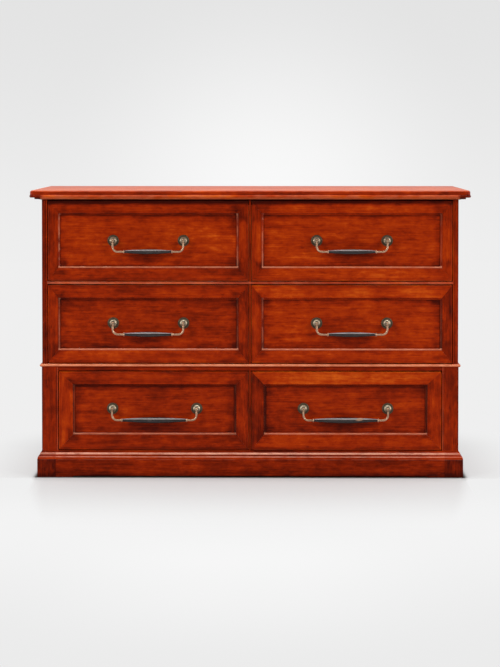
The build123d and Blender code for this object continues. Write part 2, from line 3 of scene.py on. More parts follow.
import bpy
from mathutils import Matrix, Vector


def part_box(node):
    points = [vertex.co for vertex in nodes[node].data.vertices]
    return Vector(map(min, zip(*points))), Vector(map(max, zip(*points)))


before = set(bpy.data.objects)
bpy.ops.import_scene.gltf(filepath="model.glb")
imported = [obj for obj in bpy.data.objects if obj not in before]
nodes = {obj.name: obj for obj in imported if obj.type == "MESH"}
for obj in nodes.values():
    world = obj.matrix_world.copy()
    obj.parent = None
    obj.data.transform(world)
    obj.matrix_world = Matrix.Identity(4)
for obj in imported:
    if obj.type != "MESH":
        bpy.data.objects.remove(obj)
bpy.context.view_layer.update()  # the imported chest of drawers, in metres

rows = ("top", "middle", "bottom")
drawers = [row + "_" + hand for row in rows for hand in ("left", "right")]
print("frame: loaded", len(nodes), "nodes")


# Wraps one socket, so that shader maths reads as a plain expression.
class Wire:
    def __init__(self, tree, socket=None):
        self.tree = tree
        self.socket = socket

    def node(self, kind, settings=None, inputs=None, output=0):
        made = self.tree.nodes.new("ShaderNode" + kind)
        for name, setting in (settings or {}).items():
            if name == "stops":
                ramp = made.color_ramp.elements
                ramp[0].position, ramp[0].color = setting[0][0], (*setting[0][1], 1)
                ramp[1].position, ramp[1].color = setting[-1][0], (*setting[-1][1], 1)
                for position, colour in setting[1:-1]:
                    ramp.new(position).color = (*colour, 1)
            else:
                setattr(made, name, setting)
        for name, given in (inputs or {}).items():
            if isinstance(given, Wire):
                self.tree.links.new(given.socket, made.inputs[name])
            else:
                made.inputs[name].default_value = given
        return Wire(self.tree, made.outputs[output]) if made.outputs else None

    def also(self, output):
        return Wire(self.tree, self.socket.node.outputs[output])

    def maths(self, operation, *inputs):
        return self.node("Math", {"operation": operation}, dict(enumerate(inputs)))

    def __add__(self, other):
        return self.maths("ADD", self, other)

    def __radd__(self, other):
        return self.maths("ADD", other, self)

    def __sub__(self, other):
        return self.maths("SUBTRACT", self, other)

    def __rsub__(self, other):
        return self.maths("SUBTRACT", other, self)

    def __mul__(self, other):
        return self.maths("MULTIPLY", self, other)

    def __rmul__(self, other):
        return self.maths("MULTIPLY", other, self)

    def __truediv__(self, other):
        return self.maths("DIVIDE", self, other)

    def __lt__(self, other):
        return self.maths("LESS_THAN", self, other)

    def __gt__(self, other):
        return self.maths("GREATER_THAN", self, other)

    def __abs__(self):
        return self.maths("ABSOLUTE", self)

    def least(self, other):
        return self.maths("MINIMUM", self, other)

    def most(self, other):
        return self.maths("MAXIMUM", self, other)

    # 0 below start, 1 above end, with a soft step between them
    def rise(self, start, end):
        settings = {"interpolation_type": "SMOOTHSTEP"}
        return self.node("MapRange", settings, {"Value": self, "From Min": start, "From Max": end})

    def fall(self, start, end):
        return 1 - self.rise(start, end)

    # first where this mask is 1, second where it is 0
    def pick(self, first, second):
        return self * first + (1 - self) * second


def newFinish(name):
    material = bpy.data.materials.new(name)
    material.use_nodes = True
    material.node_tree.nodes.clear()
    return material, Wire(material.node_tree).node("TexCoord", None, None, "Object")


def axes(place):
    parts = place.node("SeparateXYZ", None, {"Vector": place}, "X")
    return parts, parts.also("Y"), parts.also("Z")


def radiusOf(across, up):
    squared = across * across + up * up
    return squared.maths("SQRT", squared)


def nearest(distances):
    least = distances[0]
    for distance in distances[1:]:
        least = least.least(distance)
    return least


# scale is in cycles per metre, one number for each axis.
def noise(place, scale, detail=2, roughness=0.5, distortion=0.0):
    return place.node("TexNoise", None, {
        "Vector": place.node("VectorMath", {"operation": "MULTIPLY"}, {0: place, 1: scale}),
        "Scale": 1.0,
        "Detail": detail,
        "Roughness": roughness,
        "Distortion": distortion,
    })


# Each colour is three numbers or another node's Wire.
def mixColour(factor, first, second):
    first, second = [given if isinstance(given, Wire) else (*given, 1) for given in (first, second)]
    settings = {"data_type": "RGBA", "clamp_factor": True}
    return factor.node("Mix", settings, {0: factor, 6: first, 7: second}, 2)


def dress(name, material):
    node = nodes[name]
    if not node.material_slots:
        node.data.materials.append(material)
    for held in node.material_slots:
        held.material = material


stainedCherry = {
    "stops": [  # how dark to bright wood reads under the varnish
        (0.0, (0.050, 0.0035, 0.0010)),
        (0.3, (0.160, 0.0100, 0.0008)),
        (0.5, (0.275, 0.0180, 0.0010)),
        (0.7, (0.390, 0.0340, 0.0014)),
        (1.0, (0.600, 0.0960, 0.0060)),
    ],
    "figure": {"along": 4.5, "across": 60.0, "depth": 0.60},  # cycles per metre, and change of tone
    "fine": {"along": 18.0, "across": 560.0, "depth": 0.45},
    "cloud": {"along": 12.0, "across": 12.0, "depth": 0.55},
    "mottle": {"along": 48.0, "across": 105.0, "depth": 0.70},
    "fleck": {"along": 55.0, "across": 230.0, "depth": 0.16},
    "pore": {"along": 70.0, "across": 1500.0, "depth": 0.80},
    "roughness": 0.34, "specular": 0.035, "coat": 0.015, "polishedCoat": 0.54, "coatRoughness": 0.14,
    "rubbedAndSheen": (0.600, 0.200, 0.105),  # where the stain is worn thin on an arris, and a painted highlight where mouldings catch the light
}
plainPoplar = {
    "stops": [
        (0.0, (0.230, 0.120, 0.048)),
        (0.4, (0.400, 0.240, 0.110)),
        (0.7, (0.500, 0.320, 0.160)),
        (1.0, (0.600, 0.420, 0.230)),
    ],
    "figure": {"along": 2.6, "across": 44.0, "depth": 1.00},
    "fine": {"along": 14.0, "across": 520.0, "depth": 0.50},
    "cloud": {"along": 8.0, "across": 8.0, "depth": 0.40},
    "mottle": {"along": 40.0, "across": 90.0, "depth": 0.15},
    "fleck": {"along": 40.0, "across": 300.0, "depth": 0.18},
    "pore": {"along": 60.0, "across": 1300.0, "depth": 0.80},
    "roughness": 0.62, "specular": 0.25, "coat": 0.0, "coatRoughness": 0.3,
}
grainNoise = {  # detail, roughness and distortion of each layer of the figure
    "figure": (4, 0.55, 0.5),
    "fine": (2, 0.5, 0.0),
    "cloud": (3, 0.6, 0.0),
    "mottle": (4, 0.68, 0.3),
    "fleck": (1, 0.5, 0.0),
    "pore": (1, 0.5, 0.0),
}
woodSurface = {
    "fleckFrom": (0.66, 0.80), "poreFrom": (0.60, 0.72),
    "relief": 0.35, "reliefDepth": 0.0004, "roughnessSwing": 0.1,
}


# The tone of the figure, from about -0.5 to 0.5, and the height of the surface with its open pores.
def grain(place, along, wood, start):
    moved = place.node("VectorMath", {"operation": "ADD"}, {0: place, 1: start})
    layers = {}
    for name, look in grainNoise.items():
        scale = [wood[name]["along" if axis == along else "across"] for axis in "xyz"]
        layers[name] = noise(moved, scale, *look)
    tone = sum((layers[name] - 0.5) * wood[name]["depth"] for name in ("figure", "fine", "cloud", "mottle"))
    tone = tone - layers["fleck"].rise(*woodSurface["fleckFrom"]) * wood["fleck"]["depth"]
    height = layers["fine"] - layers["pore"].rise(*woodSurface["poreFrom"]) * wood["pore"]["depth"]
    return tone, height


# polish is 1 on polished mouldings, and the rub mask is 1 where their stain is rubbed thin and lightened as
# a painted highlight.
def finishWood(material, tone, height, wood, polish=None, rubAndSheen=None):
    colour = tone.node("ValToRGB", {"stops": wood["stops"]}, {"Fac": tone})
    if rubAndSheen:
        colour = mixColour(rubAndSheen, colour, wood["rubbedAndSheen"])
    coat = wood["coat"]
    if polish:
        coat = polish * (wood["polishedCoat"] - coat) + coat
    relief = {"Height": height, "Strength": woodSurface["relief"], "Distance": woodSurface["reliefDepth"]}
    shader = tone.node("BsdfPrincipled", None, {
        "Base Color": colour,
        "Roughness": wood["roughness"] + (0.5 - height) * woodSurface["roughnessSwing"],
        "Specular IOR Level": wood["specular"],
        "Coat Weight": coat,
        "Coat Roughness": wood["coatRoughness"],
        "Normal": tone.node("Bump", None, relief),
    })
    tone.node("OutputMaterial", None, {"Surface": shader})
    return material


wear = {
    "core": 0.35,  # the share of a line's half width that is worn through
    "streakScale": (42, 90, 90), "streakNoise": (4, 0.72), "streakFrom": (0.32, 0.62),
    "smudgeScale": 30, "smudgeNoise": (3, 0.6),
    "boardStreaks": 0.50,  # the least that the streaks leave of the rub on a plain member
}


# 1 on a line, falling to 0 at half its width.
def wornLine(distance, place, halfWidth):
    return abs(distance - place).fall(halfWidth * wear["core"], halfWidth)


# Wear, and the painted highlight with it, comes and goes along a moulding, in streaks a few centimetres
# long.
def streaks(place, least):
    worn = noise(place, wear["streakScale"], *wear["streakNoise"]).rise(*wear["streakFrom"])
    return worn * (1 - least) + least


# Smudges some centimetres across, left by hands and cloths.
def smudges(place, scale=wear["smudgeScale"]):
    return noise(place, [scale] * 3, *wear["smudgeNoise"])


# Where the grain starts in each copy of a piece.
def grainStart(shift, number):
    return [start + step * number for start, step in zip(shift["start"], shift["step"])]


# A board with one direction of grain. Its marks give a change of tone, which on some boards holds painted
# highlight and shade, the polish, and the rub with its painted highlight.
def dressBoard(name, finishName, look, wood):
    material, place = newFinish(finishName)
    tone, height = grain(place, look["along"], wood, look["start"])
    tone = tone + look["tone"]
    polish, rubAndSheen = None, None
    if "marks" in look:
        change, polish, rubAndSheen = look["marks"](*axes(place), smudges(place))
        tone = tone + change
        rubAndSheen = rubAndSheen * streaks(place, wear["boardStreaks"])
        wood = {**wood, "rubbedAndSheen": look.get("rubbedAndSheen", wood["rubbedAndSheen"])}
    dress(name, finishWood(material, tone, height, wood, polish, rubAndSheen))


fronts = {  # tones of the panel and the four members; how the moulding is rubbed and given a painted highlight on its sides and foot, and darkened with grime and painted shade elsewhere; and the depth of the painted shade under the top
    "top_left": {
        "panel": 0.600, "left": 0.480, "right": 0.575, "bottom": 0.500, "top": 0.460,
        "rubAndSheenLeft": 0.60, "rubAndSheenRight": 0.42, "rubAndSheenFoot": 0.95, "shadeAndGrime": 0.12, "overhang": 0.46,
    },
    "top_right": {
        "panel": 0.575, "left": 0.565, "right": 0.610, "bottom": 0.620, "top": 0.570,
        "rubAndSheenLeft": 0.50, "rubAndSheenRight": 0.14, "rubAndSheenFoot": 0.95, "shadeAndGrime": 0.12, "overhang": 0.46,
    },
    "middle_left": {
        "panel": 0.470, "left": 0.485, "right": 0.400, "bottom": 0.595, "top": 0.470,
        "rubAndSheenLeft": 0.35, "rubAndSheenRight": 0.12, "rubAndSheenFoot": 0.95, "shadeAndGrime": 0.16, "overhang": 0.0,
    },
    "middle_right": {
        "panel": 0.560, "left": 0.510, "right": 0.400, "bottom": 0.580, "top": 0.670,
        "rubAndSheenLeft": 0.30, "rubAndSheenRight": 0.10, "rubAndSheenFoot": 0.95, "shadeAndGrime": 0.16, "overhang": 0.0,
    },
    "bottom_left": {
        "panel": 0.510, "left": 0.635, "right": 0.410, "bottom": 0.405, "top": 0.505,
        "rubAndSheenLeft": 0.10, "rubAndSheenRight": 0.06, "rubAndSheenFoot": 0.62, "shadeAndGrime": 0.30, "overhang": 0.0,
    },
    "bottom_right": {
        "panel": 0.475, "left": 0.390, "right": 0.550, "bottom": 0.560, "top": 0.770,
        "rubAndSheenLeft": 0.05, "rubAndSheenRight": 0.05, "rubAndSheenFoot": 0.66, "shadeAndGrime": 0.34, "overhang": 0.0,
    },
}
frontGrain = {
    "stiles": {"start": (0.0, 0.0, 1.7), "step": (3.1, 1.3, 0.0)},
    "rails": {"start": (0.0, 4.4, 0.0), "step": (1.9, 0.0, 0.7)},
    "panel": {"start": (0.0, 1.1, 0.0), "step": (2.3, 0.0, 1.3)},
}
frontMarks = {  # widths in metres inwards from a frame's edge, and their changes of tone
    "mitre": (0.0, 0.05), "mitreTone": 0.09,  # its width is a share of the member's
    "edge": (0.0020, 0.0090), "edgeGrime": 0.5, "edgeClean": 0.10,
    "corner": (0.004, 0.026), "cornerGrime": 0.9, "cornerClean": 0.22,
    # the arris is lightened as a painted highlight, and rubbed with a painted highlight in smudges
    "arris": (0.0008, 0.0020), "arrisTone": 0.24, "arrisRubAndSheen": 0.08, "arrisRubFrom": (0.42, 0.62),
    "overhang": (0.0040, 0.0125),  # shade under the top
}
panelMoulding = {  # measured in metres from its outer edge
    "edge": (0.0001, 0.0005), "width": (0.0045, 0.0060),
    "rubAndSheenLine": (0.0024, 0.0023), "footRubFrom": (0.15, 0.42), "sideRubFrom": (0.36, 0.56), "streaks": 0.55,
    # a dark line of grime and painted shade on the moulding where it has no painted highlight
    "darkLine": (0.0013, 0.0021), "darkTone": 0.9,
}
panelMarks = {  # measured in metres from the outer edge of the moulding
    "smudgeScale": 24, "moulding": 0.005,
    "edge": (0.005, 0.024), "edgeGrime": 0.60, "edgeClean": 0.16,
    # painted shade and grime on the panel under the top of the moulding
    "top": (0.005, 0.012), "topTone": 0.06, "topShadeAndGrime": 0.4,
    "quirk": 0.0054, "quirkHalf": 0.0018, "quirkTone": 0.20,  # painted shade in the crease beside the moulding
}
gripShadow = {  # painted shadow of the grip on the panel below it
    "drop": 0.0370, "halfHeight": 0.0195, "spare": 0.028, "fade": (0.35, 1.25), "tone": 0.23,
}
rosetteRadius = 0.013


# Centre and half the distance between the posts, whose box ends at the rims of the rosettes.
def pullPlace(name):
    low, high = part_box(name + "_pull_posts")
    centre = (low + high) / 2
    return centre.x, centre.z, (high.x - low.x) / 2 - rosetteRadius


# Distances into a front's window, from its sides and from its top and bottom.
def windowGaps(x, z, windowLow, windowHigh):
    sideGap = (x - windowLow.x).least(windowHigh.x - x)
    levelGap = (z - windowLow.z).least(windowHigh.z - z)
    return sideGap, levelGap


# Old polish gathers in smudges where the mouldings meet.
def cornerGrime(sideGap, levelGap, smear):
    corner = abs(sideGap).most(abs(levelGap)).fall(*frontMarks["corner"])
    return corner * (smear * frontMarks["cornerGrime"] - frontMarks["cornerClean"])


def dressFrame(name, number):
    look = fronts[name]
    low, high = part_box(name + "_front_frame")
    windowLow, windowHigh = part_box(name + "_front_panel")  # the panel fills the frame's window
    material, place = newFinish(name + "_frame_cherry")
    x, y, z = axes(place)

    # each member has its own tone, and the grain turns at the mitres
    left = (x - low.x) / (windowLow.x - low.x)
    right = (high.x - x) / (high.x - windowHigh.x)
    bottom = (z - low.z) / (windowLow.z - low.z)
    top = (high.z - z) / (high.z - windowHigh.z)
    isStile = left.least(right) < bottom.least(top)
    stileTone = (left < right).pick(look["left"], look["right"])
    railTone = (bottom < top).pick(look["bottom"], look["top"])
    upright, uprightHeight = grain(place, "z", stainedCherry, grainStart(frontGrain["stiles"], number))
    level, levelHeight = grain(place, "x", stainedCherry, grainStart(frontGrain["rails"], number))
    tone = isStile.pick(upright + stileTone, level + railTone)
    height = isStile.pick(uprightHeight, levelHeight)

    smear = smudges(place)
    mitre = abs(left.least(right) - bottom.least(top)).fall(*frontMarks["mitre"])
    edge = nearest([x - low.x, high.x - x, z - low.z, high.z - z])
    edgeGrime = smear * frontMarks["edgeGrime"] - frontMarks["edgeClean"]
    arris = edge.fall(*frontMarks["arris"])
    tone = tone - mitre * frontMarks["mitreTone"] - edge.fall(*frontMarks["edge"]) * edgeGrime
    # painted highlight along the outer arris
    tone = tone + arris * frontMarks["arrisTone"]
    if look["overhang"]:
        shade = (high.z - z).fall(*frontMarks["overhang"])
        tone = tone - shade * (arris * frontMarks["arrisTone"] + look["overhang"])

    # the panel moulding is rubbed and given a painted highlight along its foot and sides, and grimed and
    # given a line of painted shade elsewhere
    sideGap, levelGap = windowGaps(x, z, windowLow, windowHigh)
    inside = sideGap.least(levelGap)
    bead = inside.rise(*panelMoulding["edge"])
    foot = (z - windowLow.z).fall(*panelMoulding["width"])
    leftSide = (x - windowLow.x).fall(*panelMoulding["width"])
    rightSide = (windowHigh.x - x).fall(*panelMoulding["width"])
    sides = leftSide * look["rubAndSheenLeft"] + rightSide * look["rubAndSheenRight"]
    # painted highlight and wear along the foot and the sides of the moulding
    footRubAndSheen = foot * smear.rise(*panelMoulding["footRubFrom"]) * look["rubAndSheenFoot"]
    sideRubAndSheen = sides * smear.rise(*panelMoulding["sideRubFrom"])
    rubAndSheen = wornLine(inside, *panelMoulding["rubAndSheenLine"]) * footRubAndSheen.most(sideRubAndSheen)
    arrisRubAndSheen = arris * smear.rise(*frontMarks["arrisRubFrom"]) * frontMarks["arrisRubAndSheen"]
    rubAndSheen = rubAndSheen.most(arrisRubAndSheen) * streaks(place, panelMoulding["streaks"])
    # where the moulding gets no painted highlight, it gets grime and a line of painted shade
    unrubbed = (1 - foot) * (1 - sides)
    darkLine = wornLine(inside, *panelMoulding["darkLine"]) * panelMoulding["darkTone"]
    tone = tone - cornerGrime(sideGap, levelGap, smear) - (bead + darkLine) * unrubbed * look["shadeAndGrime"]
    polish = (bead * foot).most(bead * sides)
    dress(name + "_front_frame", finishWood(material, tone, height, stainedCherry, polish, rubAndSheen))


def dressPanel(name, number):
    look = fronts[name]
    windowLow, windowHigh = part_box(name + "_front_panel")
    material, place = newFinish(name + "_panel_cherry")
    x, y, z = axes(place)
    figure, height = grain(place, "x", stainedCherry, grainStart(frontGrain["panel"], number))
    smear = smudges(place, panelMarks["smudgeScale"])
    sideGap, levelGap = windowGaps(x, z, windowLow, windowHigh)
    edge = sideGap.least(levelGap)
    edgeGrime = smear * panelMarks["edgeGrime"] - panelMarks["edgeClean"]
    tone = figure + look["panel"] - edge.fall(*panelMarks["edge"]) * edgeGrime
    tone = tone - cornerGrime(sideGap - panelMarks["moulding"], levelGap - panelMarks["moulding"], smear)
    # painted shadow of the grip, an ellipse below it
    centreX, centreZ, half = pullPlace(name)
    across = (x - centreX) / (half - gripShadow["spare"])
    up = (z - centreZ + gripShadow["drop"]) / gripShadow["halfHeight"]
    tone = tone - radiusOf(across, up).fall(*gripShadow["fade"]) * gripShadow["tone"]
    # painted shade and grime under the top of the moulding
    topShadeAndGrime = panelMarks["topTone"] + look["shadeAndGrime"] * panelMarks["topShadeAndGrime"]
    tone = tone - (windowHigh.z - z).fall(*panelMarks["top"]) * topShadeAndGrime
    # a line of painted shade in the crease beside the moulding
    quirk = abs(edge - panelMarks["quirk"]).fall(0.0, panelMarks["quirkHalf"])
    tone = tone - quirk * panelMarks["quirkTone"]
    dress(name + "_front_panel", finishWood(material, tone, height, stainedCherry))


for number, name in enumerate(drawers, 1):
    dressFrame(name, number)
    dressPanel(name, number)
print("wood: dressed", len(drawers), "drawer fronts")

topMarks = {  # in these and the next marks, a pair says where a change starts and where it is whole
    # the surface is lightened and rubbed as a painted sheen, and is darker towards the back
    "surface": (0.6508, 0.6527), "surfaceTone": 0.38, "surfaceRubAndSheen": 0.3, "surfaceRubLeast": 0.12,
    "towardsBack": (0.0, 0.14), "backTone": 0.07,
    "edgeTone": 0.06, "polishFrom": (0.6500, 0.6512), "polishTo": (0.6519, 0.6525), "polish": 0.3,
    # a painted highlight rubbed along the top arris
    "arris": (0.6520, 0.0012), "arrisRubAndSheen": 0.28, "arrisRubFrom": (0.25, 0.55),
    # the quirk gets a line of painted shade
    "quirk": (0.6432, 0.0010), "quirkTone": 0.25,  # height and half width, as for every line
    # the lower tier is lightened as a painted highlight and rubbed; its ends get painted shade
    "tier": (0.6428, 0.6436), "tierTone": 0.34, "tierRubAndSheen": 0.26, "tierRubFrom": (0.3, 0.6),
    "ends": (0.466, 0.478), "endsTone": 0.22,
}


# The top's surface, its edge and the lower tier of its moulding, with a painted sheen and painted
# highlights, and painted shade at the tier's ends.
def markTop(x, y, z, smear):
    surface = z.rise(*topMarks["surface"])
    tier = z.fall(*topMarks["tier"])
    ends = abs(x).rise(*topMarks["ends"])
    front = tier * (1 - ends)
    change = surface * (topMarks["surfaceTone"] - y.rise(*topMarks["towardsBack"]) * topMarks["backTone"])
    change = change + front * topMarks["tierTone"] - tier * ends * topMarks["endsTone"]
    change = change + (1 - surface) * (1 - tier) * topMarks["edgeTone"]
    change = change - wornLine(z, *topMarks["quirk"]) * topMarks["quirkTone"]
    polish = z.rise(*topMarks["polishFrom"]) * z.fall(*topMarks["polishTo"]) * topMarks["polish"]
    tierRubAndSheen = front * smear.rise(*topMarks["tierRubFrom"]) * topMarks["tierRubAndSheen"]
    arrisRubAndSheen = wornLine(z, *topMarks["arris"]) * smear.rise(*topMarks["arrisRubFrom"])
    surfaceRubAndSheen = surface * (smear * topMarks["surfaceRubAndSheen"] + topMarks["surfaceRubLeast"])
    return change, polish, tierRubAndSheen.most(arrisRubAndSheen * topMarks["arrisRubAndSheen"]).most(surfaceRubAndSheen)


bedMarks = {  # only its lip shows under the top; the lip is lightened as a painted highlight and rubbed, and its ends stay dark
    "lip": (0.6326, 0.6336), "ends": (0.4735, 0.4765),
    "tone": 0.85, "polish": 0.3, "rubAndSheen": 0.55, "rubFrom": (0.2, 0.6),
}


def markBed(x, y, z, smear):
    # the lip is lightened as a painted highlight
    lip = z.rise(*bedMarks["lip"]) * abs(x).fall(*bedMarks["ends"])
    rubAndSheen = lip * smear.rise(*bedMarks["rubFrom"]) * bedMarks["rubAndSheen"]
    return lip * bedMarks["tone"], lip * bedMarks["polish"], rubAndSheen


waistMarks = {"line": (0.2551, 0.0033), "rubFrom": (0.10, 0.40), "smudgeTone": 0.2}


# The bead's crest is polished, rubbed and given a painted highlight.
def markWaist(x, y, z, smear):
    line = wornLine(z, *waistMarks["line"])
    return (smear - 0.5) * waistMarks["smudgeTone"], line, line * smear.rise(*waistMarks["rubFrom"])


capMarks = {
    "line": (0.0530, 0.0029), "foot": (0.0462, 0.0016), "footRubAndSheen": 0.5, "rubFrom": (0.10, 0.42),
    # the quirks get lines of painted shade
    "quirks": ((0.0492, 0.0012), (0.0575, 0.0018)), "quirkTone": 0.25,
    "block": (0.4415, 0.4435), "blockTone": 0.06, "blockUnrubbed": 0.45,
}


# The bead and the foot of the cap are polished, rubbed and given painted highlights.
def markCap(x, y, z, smear):
    line = wornLine(z, *capMarks["line"])
    foot = wornLine(z, *capMarks["foot"])
    quirks = sum(wornLine(z, *quirk) for quirk in capMarks["quirks"])
    block = abs(x).rise(*capMarks["block"])
    change = 0 - quirks * capMarks["quirkTone"] - block * capMarks["blockTone"]
    rubAndSheen = line.most(foot * capMarks["footRubAndSheen"]) * smear.rise(*capMarks["rubFrom"])
    return change, line.most(foot), rubAndSheen * (1 - block * capMarks["blockUnrubbed"])


stileMarks = {  # widths are measured from the middle of the chest
    "waist": 0.254, "lowerTone": 0.05, "upperRightTone": 0.04,
    "bead": (0.4391, 0.0018), "beadPolish": 0.3, "beadRubAndSheen": 0.12, "beadRubFrom": (0.3, 0.6),
    "lowerArris": (0.4383, 0.4395), "upperArris": (0.4623, 0.4635),
    "outer": (0.4705, 0.4740), "outerGrime": 0.5, "outerClean": 0.05,
}


# The strips above the waist are narrower than the stiles under it.
def markStiles(x, y, z, smear):
    lower = z < stileMarks["waist"]
    change = lower.pick(stileMarks["lowerTone"], (x > 0) * stileMarks["upperRightTone"])
    # a painted highlight along the inner arris
    arris = lower.pick(abs(x).fall(*stileMarks["lowerArris"]), abs(x).fall(*stileMarks["upperArris"]))
    change = change + arris * frontMarks["arrisTone"]
    outerGrime = smear * stileMarks["outerGrime"] - stileMarks["outerClean"]
    change = change - abs(x).rise(*stileMarks["outer"]) * outerGrime
    # the lower stiles' bead is polished, rubbed and given a painted highlight
    bead = wornLine(abs(x), *stileMarks["bead"]) * lower
    rubAndSheen = bead * smear.rise(*stileMarks["beadRubFrom"]) * stileMarks["beadRubAndSheen"]
    return change, bead * stileMarks["beadPolish"], rubAndSheen


plinthMarks = {
    "leftTone": 0.03, "ends": (0.425, 0.442), "endsTone": 0.02,
    "foot": (0.001, 0.015), "footDirtAndShade": 0.3, "footTone": 0.06,
    "edge": (0.0385, 0.0410), "edgePolish": 0.5, "edgeRubAndSheen": 0.25, "edgeRubFrom": (0.35, 0.60),
    "blockSmudges": 0.3, "blockRubAndSheen": 0.2, "blockRubFrom": (0.4, 0.6),
}


# Dirt off the floor, and painted shade near the floor.
def footDirtAndShade(z, smear):
    shadeAndGrime = smear * plinthMarks["footDirtAndShade"] + plinthMarks["footTone"]
    return z.fall(*plinthMarks["foot"]) * shadeAndGrime


# The top edge of the boards is polished, rubbed and given a painted highlight.
def markPlinth(x, y, z, smear):
    edge = z.rise(*plinthMarks["edge"])
    change = (x < 0) * plinthMarks["leftTone"] - abs(x).rise(*plinthMarks["ends"]) * plinthMarks["endsTone"]
    rubAndSheen = edge * smear.rise(*plinthMarks["edgeRubFrom"]) * plinthMarks["edgeRubAndSheen"]
    return change - footDirtAndShade(z, smear), edge * plinthMarks["edgePolish"], rubAndSheen


# The top edge of the blocks is polished, rubbed and given a painted highlight.
def markBlocks(x, y, z, smear):
    edge = z.rise(*plinthMarks["edge"])
    change = (smear - 0.5) * plinthMarks["blockSmudges"] - footDirtAndShade(z, smear)
    return change, edge, edge * smear.rise(*plinthMarks["blockRubFrom"]) * plinthMarks["blockRubAndSheen"]


caseWood = {  # the waist and the cap are rubbed nearly bare and given painted highlights along their beads
    "top_board": {"along": "x", "tone": 0.42, "start": (0.3, 0.0, 0.0), "marks": markTop},
    # the bed moulding and the sub top are toned near black as painted shade under the top
    "top_bed_moulding": {"along": "x", "tone": 0.10, "start": (2.0, 0.9, 2.1), "marks": markBed},
    "sub_top_board": {"along": "x", "tone": 0.05, "start": (3.7, 1.8, 4.2)},
    "front_stiles": {"along": "z", "tone": 0.32, "start": (5.4, 2.7, 6.3), "marks": markStiles},
    "waist_moulding": {
        "along": "x", "tone": 0.62, "start": (7.1, 3.6, 8.4), "marks": markWaist,
        "rubbedAndSheen": (0.720, 0.250, 0.122),
    },
    "plinth_cap_moulding": {
        "along": "x", "tone": 0.52, "start": (8.8, 4.5, 10.5), "marks": markCap,
        "rubbedAndSheen": (0.830, 0.380, 0.255),
    },
    "plinth_boards": {"along": "x", "tone": 0.34, "start": (10.5, 5.4, 12.6), "marks": markPlinth},
    "plinth_corner_blocks": {"along": "z", "tone": 0.18, "start": (14.6, 6.3, 14.7), "marks": markBlocks},
    "side_panels": {"along": "z", "tone": 0.46, "start": (13.9, 7.2, 16.8)},
}
for name, look in caseWood.items():
    dressBoard(name, name + "_cherry", look, stainedCherry)

sideFrame = {
    "groove": 0.008,  # how far the panels reach behind the stiles
    "tone": 0.42, "joint": (0.0004, 0.0012), "jointTone": 0.2,
    "stiles": {"start": (1.3, 0.0, 0.4), "step": (0.0, 3.0, 0.0)},
    "rails": {"start": (5.3, 0.0, 0.9), "step": (0.0, 2.0, 0.0)},
}


def dressSide(name, number):
    panelLow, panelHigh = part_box("side_panels")
    stileFront = panelLow.y + sideFrame["groove"]
    stileBack = panelHigh.y - sideFrame["groove"]
    material, place = newFinish(name + "_cherry")
    x, y, z = axes(place)
    isStile = (y < stileFront).most(y > stileBack)
    upright, uprightHeight = grain(place, "z", stainedCherry, grainStart(sideFrame["stiles"], number))
    level, levelHeight = grain(place, "y", stainedCherry, grainStart(sideFrame["rails"], number))
    joint = abs(y - stileFront).least(abs(y - stileBack)).fall(*sideFrame["joint"])
    tone = isStile.pick(upright, level) + sideFrame["tone"] - joint * sideFrame["jointTone"]
    height = isStile.pick(uprightHeight, levelHeight)
    dress(name, finishWood(material, tone, height, stainedCherry))


for number, name in enumerate(("left_side_frame", "right_side_frame")):
    dressSide(name, number)

faceStrips = {
    "tone": 0.36, "start": (7.3, 1.5, 1.9),
    "centreTone": 0.44, "centreStart": (3.3, 0.5, 2.4), "centreHalf": 0.0016,
    "nosing": 0.4425, "nosingHalf": (0.0026, 0.0034), "nosingTone": 0.42, "nosingPolish": 0.35,
    "worn": (0.155, 0.200), "wornCentre": -0.270, "wornLeast": 0.55,  # the nosing is lightened as a painted highlight and rubbed, most over the left drawer
    "rubAndSheen": 0.42, "rubFrom": (0.25, 0.60), "streaks": 0.4,
}


# Level strips, and narrow upright ones between the two columns of drawers.
def dressStrips():
    material, place = newFinish("face_strips_cherry")
    x, y, z = axes(place)
    centre = abs(x) < faceStrips["centreHalf"]
    upright, uprightHeight = grain(place, "z", stainedCherry, faceStrips["centreStart"])
    level, levelHeight = grain(place, "x", stainedCherry, faceStrips["start"])
    height = centre.pick(uprightHeight, levelHeight)
    # a painted highlight along the nosing, with rubbing, most over the left drawer
    nosing = abs(z - faceStrips["nosing"]).fall(*faceStrips["nosingHalf"])
    worn = abs(x - faceStrips["wornCentre"]).fall(*faceStrips["worn"])
    bright = nosing * (worn * (1 - faceStrips["wornLeast"]) + faceStrips["wornLeast"])
    tone = centre.pick(upright + faceStrips["centreTone"], level + faceStrips["tone"])
    tone = tone + bright * faceStrips["nosingTone"]
    rubAndSheen = bright * smudges(place).rise(*faceStrips["rubFrom"]) * faceStrips["rubAndSheen"]
    rubAndSheen = rubAndSheen * streaks(place, faceStrips["streaks"])
    polish = nosing * faceStrips["nosingPolish"]
    dress("face_strips", finishWood(material, tone, height, stainedCherry, polish, rubAndSheen))


dressStrips()

